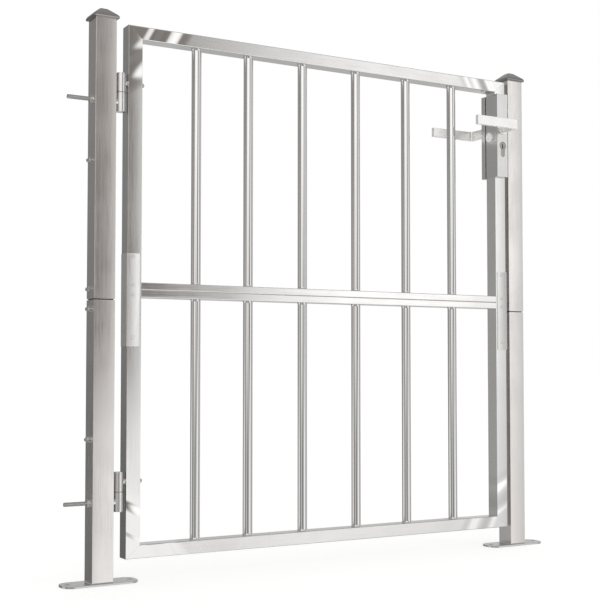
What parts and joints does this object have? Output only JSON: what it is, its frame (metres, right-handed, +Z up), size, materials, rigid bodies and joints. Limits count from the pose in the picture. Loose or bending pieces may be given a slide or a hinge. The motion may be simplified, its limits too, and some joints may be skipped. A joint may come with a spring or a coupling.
{
  "type": "livestock panel gate",
  "caption": "Stainless steel pen gate: two square posts on base plates, a bolted barred leaf on pin hinges and a lever lock with a key cylinder.",
  "frame": {"origin": "on the floor, midway between the outer faces of the two posts and in the posts' middle plane", "axes": "+X along the gate from the hinge post to the latch post, +Y to the back, +Z up; the leaf opens toward -Y"},
  "size_m": [1.104, 0.166, 1.054],
  "materials": {
    "polished_stainless": "polished stainless steel tube",
    "brushed_stainless": "brushed stainless steel",
    "stainless_fastener": "stainless fastener",
    "lock_steel": "satin stainless lock cover",
    "cast_stainless": "satin cast stainless lever",
    "brass": "nickel plated brass",
    "spring_steel": "spring steel"
  },
  "bodies": {
    "frame": {"hinge_base_plate": "brushed_stainless", "latch_base_plate": "brushed_stainless", "hinge_post_lower": "brushed_stainless", "hinge_post_upper": "brushed_stainless", "latch_post_lower": "brushed_stainless", "latch_post_upper": "brushed_stainless", "hinge_post_sleeve": "brushed_stainless", "latch_post_sleeve": "brushed_stainless", "hinge_post_cap": "brushed_stainless", "latch_post_cap": "brushed_stainless", "post_bolts": "stainless_fastener", "post_bolt_washers": "stainless_fastener", "post_bolt_nuts": "stainless_fastener", "post_hinge_eyes": "cast_stainless", "hinge_rod_washers": "stainless_fastener", "hinge_rod_nuts": "stainless_fastener", "hinge_pins": "stainless_fastener", "hinge_washers": "brass", "strike_plate": "lock_steel", "strike_screws": "stainless_fastener"},
    "leaf": {"leaf_hinge_eyes": "cast_stainless", "leaf_hinge_dome_nuts": "stainless_fastener", "bottom_rail": "polished_stainless", "top_rail": "polished_stainless", "lower_mid_rail": "polished_stainless", "upper_mid_rail": "polished_stainless", "hinge_stile_lower": "polished_stainless", "hinge_stile_upper": "polished_stainless", "latch_stile_lower": "polished_stainless", "latch_stile_upper": "polished_stainless", "stile_splices": "brushed_stainless", "lower_bars": "polished_stainless", "upper_bars": "polished_stainless", "hinge_joining_plate": "polished_stainless", "latch_joining_plate": "polished_stainless", "joining_plate_screws": "stainless_fastener", "lock_case": "lock_steel", "lock_back_box": "lock_steel", "lock_forend": "lock_steel", "lock_side_screw": "stainless_fastener", "lever_roses": "cast_stainless", "cylinder_bodies": "brass", "latch_spring": "spring_steel"},
    "lever": {"front_lever": "cast_stainless", "back_lever": "cast_stainless", "lever_spindle": "lock_steel", "lever_hub": "lock_steel"},
    "latch": {"latch_bolt": "lock_steel"},
    "key": {"key_plug": "brass"},
    "deadbolt": {"deadbolt": "lock_steel"}
  },
  "joints": [
    {"name": "leaf_swing", "type": "hinge", "parent": "frame", "child": "leaf", "pos_m": [-0.4475, -0.01, 0.5], "axis": [0, 0, -1], "range_deg": [0, 92]},
    {"name": "lever_turn", "type": "hinge", "parent": "leaf", "child": "lever", "pos_m": [0.4365, -0.005, 0.918], "axis": [0, -1, 0], "range_deg": [0, 30], "stiffness_Nm_per_rad": 1.5, "springref_deg": -20.05},
    {"name": "latch_slide", "type": "slide", "parent": "leaf", "child": "latch", "axis": [-1, 0, 0], "range_m": [0, 0.0058], "deforming": ["latch_spring"]},
    {"name": "key_turn", "type": "hinge", "parent": "leaf", "child": "key", "pos_m": [0.4365, -0.005, 0.88], "axis": [0, -1, 0], "range_deg": [0, 90]},
    {"name": "deadbolt_slide", "type": "slide", "parent": "leaf", "child": "deadbolt", "axis": [1, 0, 0], "range_m": [0, 0.01413]}
  ],
  "couplings": [
    {"joint": "latch_slide", "follows": "lever_turn", "m_per_rad": 0.01107},
    {"joint": "key_turn", "follows": "deadbolt_slide", "rad_per_m": 111.11}
  ]
}
